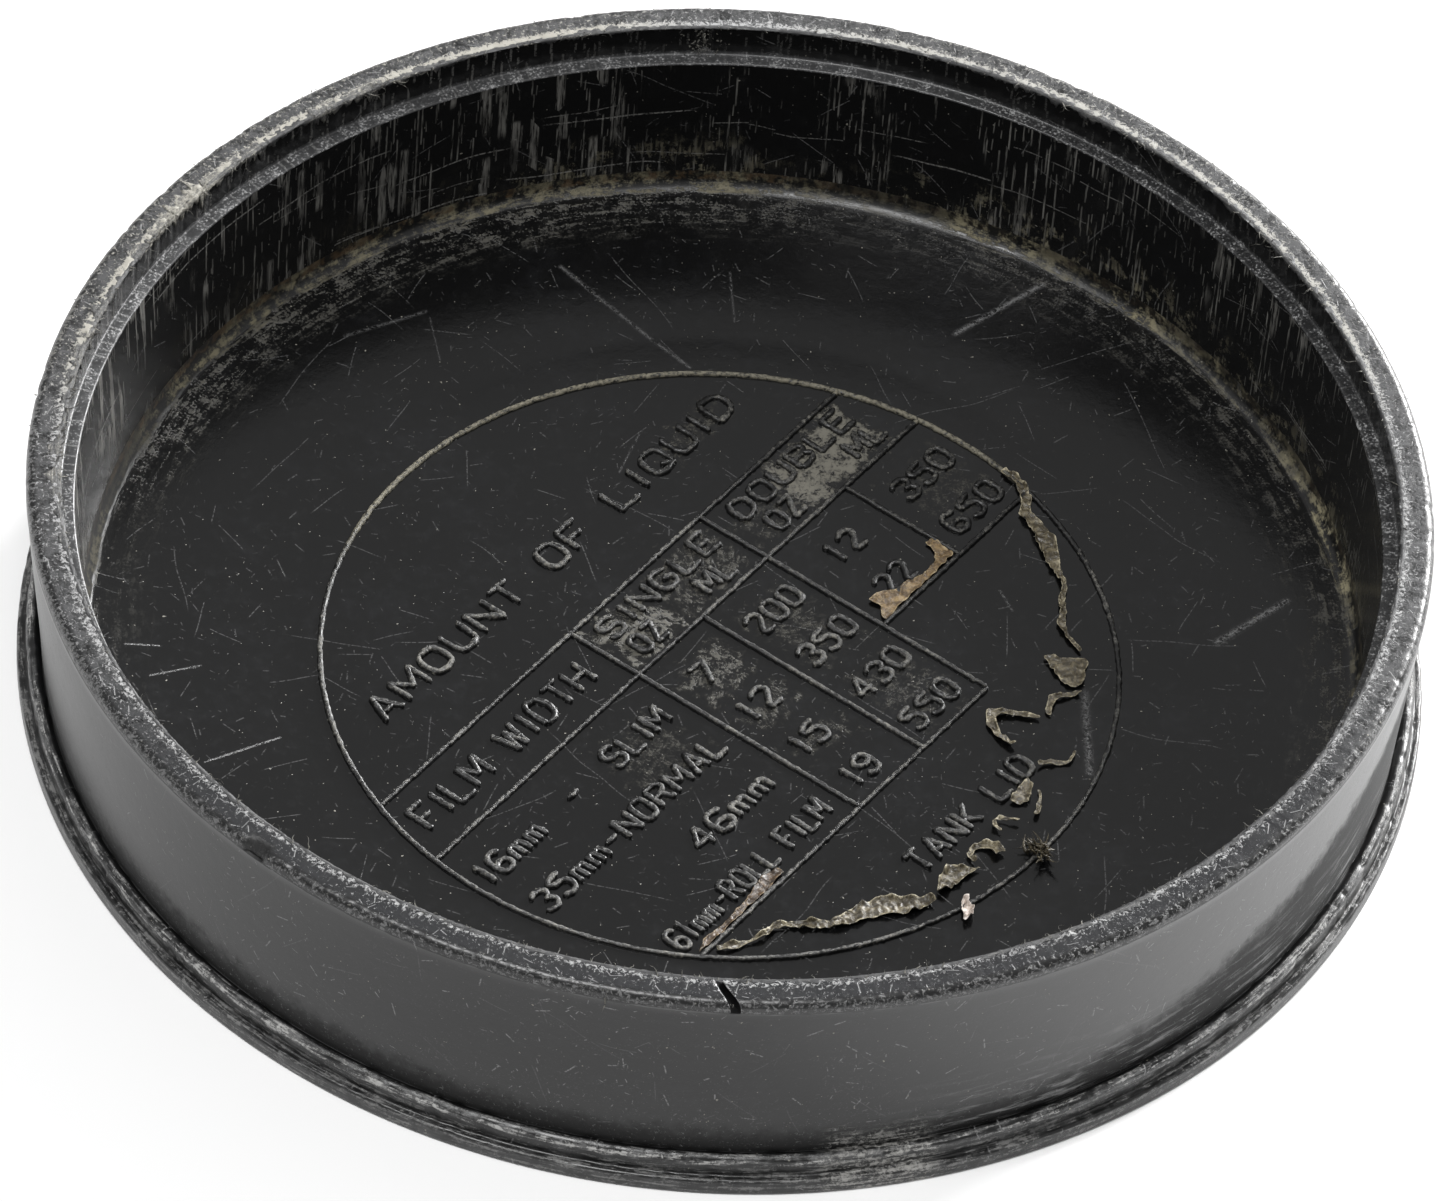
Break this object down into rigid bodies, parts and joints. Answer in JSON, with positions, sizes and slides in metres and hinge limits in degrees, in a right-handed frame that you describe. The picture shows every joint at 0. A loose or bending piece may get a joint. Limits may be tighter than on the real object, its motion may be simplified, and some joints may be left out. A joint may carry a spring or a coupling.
{
  "type": "film developing tank lid",
  "caption": "Shallow round push-on lid for a film developing tank: flanged black plastic cap with a rebated rim, beaded lip, raised fill-volume table inside and torn film scraps.",
  "frame": {"origin": "middle of the flat underside, on the lid's axis, with the lid lying mouth up", "axes": "+Z along the lid's axis, out through the open mouth; -Y towards the slit in the rim; +X to the right when the slit is in front"},
  "size_m": [0.114, 0.114, 0.0204],
  "materials": {
    "black_plastic": "worn satin black polyethylene, scuffed grey on the edges and streaked on the inner wall",
    "dried_film": "thin brittle yellowed film, torn and slightly curled",
    "brown_film": "thin brown stained film residue"
  },
  "bodies": {
    "root": {"lid": "black_plastic", "scrap_cell_edge": "dried_film", "scrap_right_ribbon": "dried_film", "scrap_right_patch": "dried_film", "scrap_right_tail": "dried_film", "scrap_chevron": "dried_film", "scrap_brown_strip": "brown_film", "scrap_lower_ribbon": "dried_film", "scrap_lower_patch": "dried_film", "scrap_arch": "dried_film", "scrap_curl": "dried_film", "scrap_word_patch": "dried_film", "scrap_word_tail": "dried_film", "scrap_thread": "dried_film", "scrap_fleck": "dried_film", "scrap_tuft": "dried_film"}
  },
  "joints": []
}
